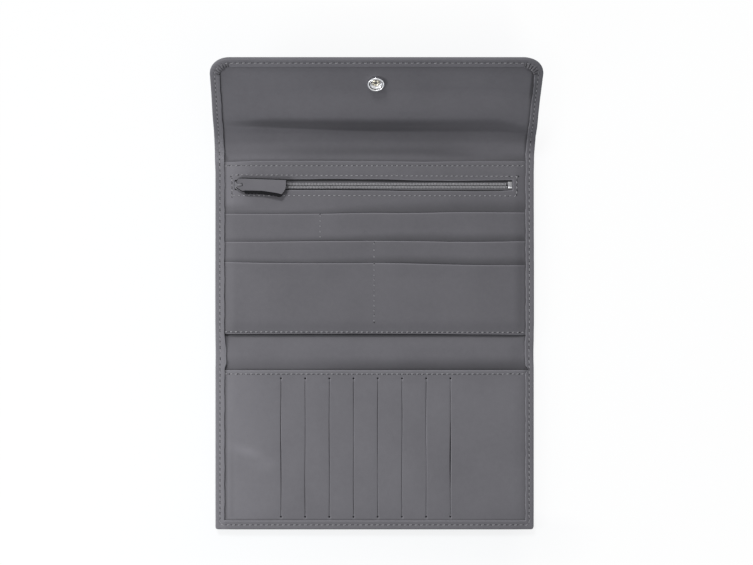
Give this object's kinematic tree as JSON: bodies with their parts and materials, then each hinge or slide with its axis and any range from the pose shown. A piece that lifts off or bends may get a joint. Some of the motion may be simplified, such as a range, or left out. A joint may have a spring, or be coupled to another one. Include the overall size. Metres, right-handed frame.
{
  "type": "three-panel clutch wallet",
  "caption": "Open leather clutch wallet: snap flap, zip coin pouch with stepped slip pockets, folding spine and a card panel with upright slits.",
  "frame": {"origin": "on the outer face of the back panel, in its middle", "axes": "+X across the wallet to the right of the open lining, +Y from the card panel to the flap, +Z out of the lining"},
  "size_m": [0.205, 0.2974, 0.0593],
  "materials": {
    "outer_leather": "fine grain, satin",
    "pocket_leather": "fine grain, satin",
    "lining_leather": "fine grain, satin",
    "board": "pressed fibre",
    "pocket_cloth": "plain weave",
    "zip_tape": "woven tape",
    "zip_teeth": "satin nylon",
    "bright_metal": "polished nickel",
    "slider_metal": "satin lacquer"
  },
  "bodies": {
    "back": {"back_shell": "outer_leather", "back_board": "board", "back_lining": "lining_leather", "coin_pouch": "pocket_cloth", "zip_tape_upper": "zip_tape", "zip_tape_lower": "zip_tape", "zip_teeth_upper": "zip_teeth", "zip_teeth_lower": "zip_teeth", "zip_top_stops": "bright_metal", "zip_end_stop": "bright_metal", "zip_panel": "pocket_leather", "zip_panel_lining": "pocket_cloth", "slip_pocket_1": "pocket_leather", "slip_pocket_1_lining": "pocket_cloth", "slip_pocket_2": "pocket_leather", "slip_pocket_2_lining": "pocket_cloth", "slip_pocket_3": "pocket_leather"},
    "spine": {"spine_shell": "outer_leather", "spine_interlining": "board", "spine_lining": "lining_leather"},
    "front": {"front_shell": "outer_leather", "front_board": "board", "front_lining": "lining_leather", "card_backing": "pocket_cloth", "card_linings": "pocket_cloth", "card_panel": "pocket_leather", "snap_stud": "bright_metal", "snap_eyelet": "bright_metal"},
    "flap_fold": {"flap_fold_shell": "outer_leather", "flap_fold_interlining": "board", "flap_fold_lining": "lining_leather"},
    "flap": {"flap_shell": "outer_leather", "flap_board": "board", "flap_lining": "lining_leather", "snap_cap": "bright_metal", "snap_socket": "bright_metal", "snap_spring": "bright_metal"},
    "slider": {"slider": "slider_metal"},
    "pull": {"pull_link": "slider_metal", "pull_tab": "pocket_leather"}
  },
  "joints": [
    {"name": "lower_fold", "type": "hinge", "parent": "back", "child": "spine", "pos_m": [0, -0.0575, 0.0028], "axis": [-1, 0, 0], "range_deg": [0, 90]},
    {"name": "front_fold", "type": "hinge", "parent": "spine", "child": "front", "pos_m": [0, -0.0764, 0.0028], "axis": [-1, 0, 0], "range_deg": [0, 90]},
    {"name": "flap_fold_turn", "type": "hinge", "parent": "back", "child": "flap_fold", "pos_m": [0, 0.0575, 0.0028], "axis": [1, 0, 0], "range_deg": [-23.5, 66.5]},
    {"name": "flap_crease", "type": "hinge", "parent": "flap_fold", "child": "flap", "pos_m": [0, 0.07735, 0.01709], "axis": [1, 0, 0], "range_deg": [-23.5, 66.5]},
    {"name": "zip_slide", "type": "slide", "parent": "back", "child": "slider", "axis": [1, 0, 0], "range_m": [0, 0.166]},
    {"name": "pull_flip", "type": "hinge", "parent": "slider", "child": "pull", "pos_m": [-0.0867, 0.0414, 0.00705], "axis": [0, -1, 0], "range_deg": [0, 180]}
  ],
  "couplings": [
    {"joint": "front_fold", "follows": "lower_fold", "ratio": 1},
    {"joint": "flap_crease", "follows": "flap_fold_turn", "ratio": 1}
  ]
}
